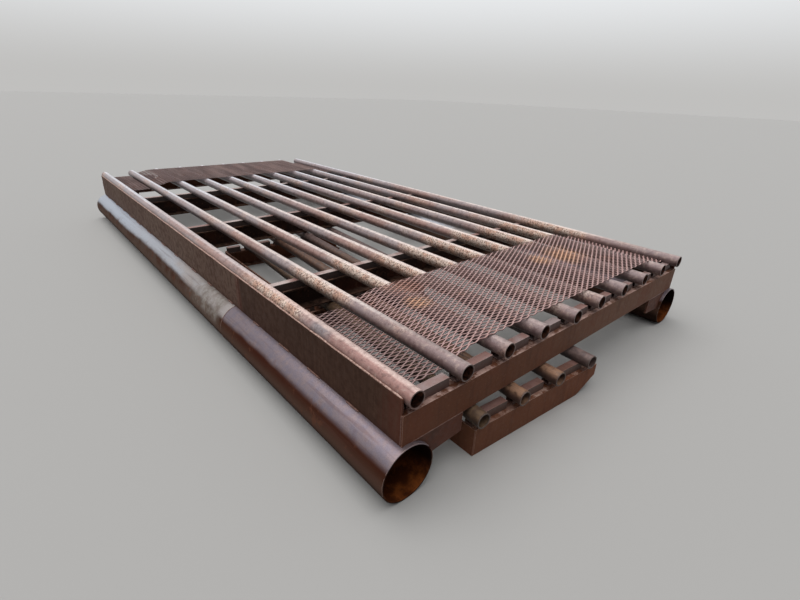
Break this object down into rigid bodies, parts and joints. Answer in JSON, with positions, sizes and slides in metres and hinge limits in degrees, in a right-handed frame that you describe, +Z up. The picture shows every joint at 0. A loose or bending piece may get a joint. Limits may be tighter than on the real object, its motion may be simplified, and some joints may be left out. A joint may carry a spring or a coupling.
{
  "type": "cattle grid",
  "caption": "Welded cattle grid: round deck pipes on channels and side plates over large base pipes, with mesh walkway sheets and a loose lower section.",
  "frame": {"origin": "on the ground, under the middle of the whole grid's box", "axes": "+Z up, +Y along the deck pipes, away from the end with the loose lower section, +X towards the right-hand side seen from the near end"},
  "size_m": [2.652, 5.1812, 0.5004],
  "materials": {
    "deck_pipe_steel": "rusted, rose-brown with sandy speckled patches",
    "base_pipe_steel": "rusted, mauve-grey on top and dark maroon below",
    "side_plate_steel": "dark brown rust, matt",
    "channel_steel": "dark brown rust, matt",
    "gusset_steel": "reddish-brown rust, matt",
    "spacer_steel": "rusted, grey-mauve, worn bright on the edges",
    "walkway_mesh_steel": "rusted expanded metal, matt",
    "lower_pipe_steel": "orange-brown rust, matt",
    "lower_channel_steel": "brick-brown rust, matt"
  },
  "bodies": {
    "root": {"base_pipe_left_far": "base_pipe_steel", "base_pipe_left_near": "base_pipe_steel", "base_pipe_right_far": "base_pipe_steel", "base_pipe_right_near": "base_pipe_steel", "cross_bar_1": "spacer_steel", "cross_bar_2": "spacer_steel", "cross_bar_3": "spacer_steel", "cross_beam_1": "channel_steel", "cross_beam_2": "channel_steel", "cross_beam_3": "channel_steel", "deck_pipe_01": "deck_pipe_steel", "deck_pipe_02": "deck_pipe_steel", "deck_pipe_03": "deck_pipe_steel", "deck_pipe_04": "deck_pipe_steel", "deck_pipe_05": "deck_pipe_steel", "deck_pipe_06": "deck_pipe_steel", "deck_pipe_07": "deck_pipe_steel", "deck_pipe_08": "deck_pipe_steel", "deck_pipe_09": "deck_pipe_steel", "deck_pipe_10": "deck_pipe_steel", "end_channel_far": "channel_steel", "end_channel_near": "channel_steel", "end_spacers_far": "spacer_steel", "end_spacers_near": "spacer_steel", "gusset_left_far": "gusset_steel", "gusset_left_near": "gusset_steel", "gusset_right_far": "gusset_steel", "gusset_right_near": "gusset_steel", "lower_channel_far": "lower_channel_steel", "lower_channel_near": "lower_channel_steel", "lower_cross_beam": "lower_channel_steel", "lower_pipe_1": "lower_pipe_steel", "lower_pipe_2": "lower_pipe_steel", "lower_pipe_3": "lower_pipe_steel", "lower_pipe_4": "lower_pipe_steel", "lower_side_plate": "lower_channel_steel", "lower_spacers_far": "lower_channel_steel", "lower_spacers_middle": "lower_channel_steel", "lower_spacers_near": "lower_channel_steel", "side_plate_left_far": "side_plate_steel", "side_plate_left_near": "side_plate_steel", "side_plate_right_far": "side_plate_steel", "side_plate_right_near": "side_plate_steel", "walkway_sheet_far": "walkway_mesh_steel", "walkway_sheet_near": "walkway_mesh_steel", "walkway_strip_left_far": "walkway_mesh_steel", "walkway_strip_left_near": "walkway_mesh_steel", "walkway_strip_right_far": "walkway_mesh_steel", "walkway_strip_right_near": "walkway_mesh_steel"}
  },
  "joints": []
}
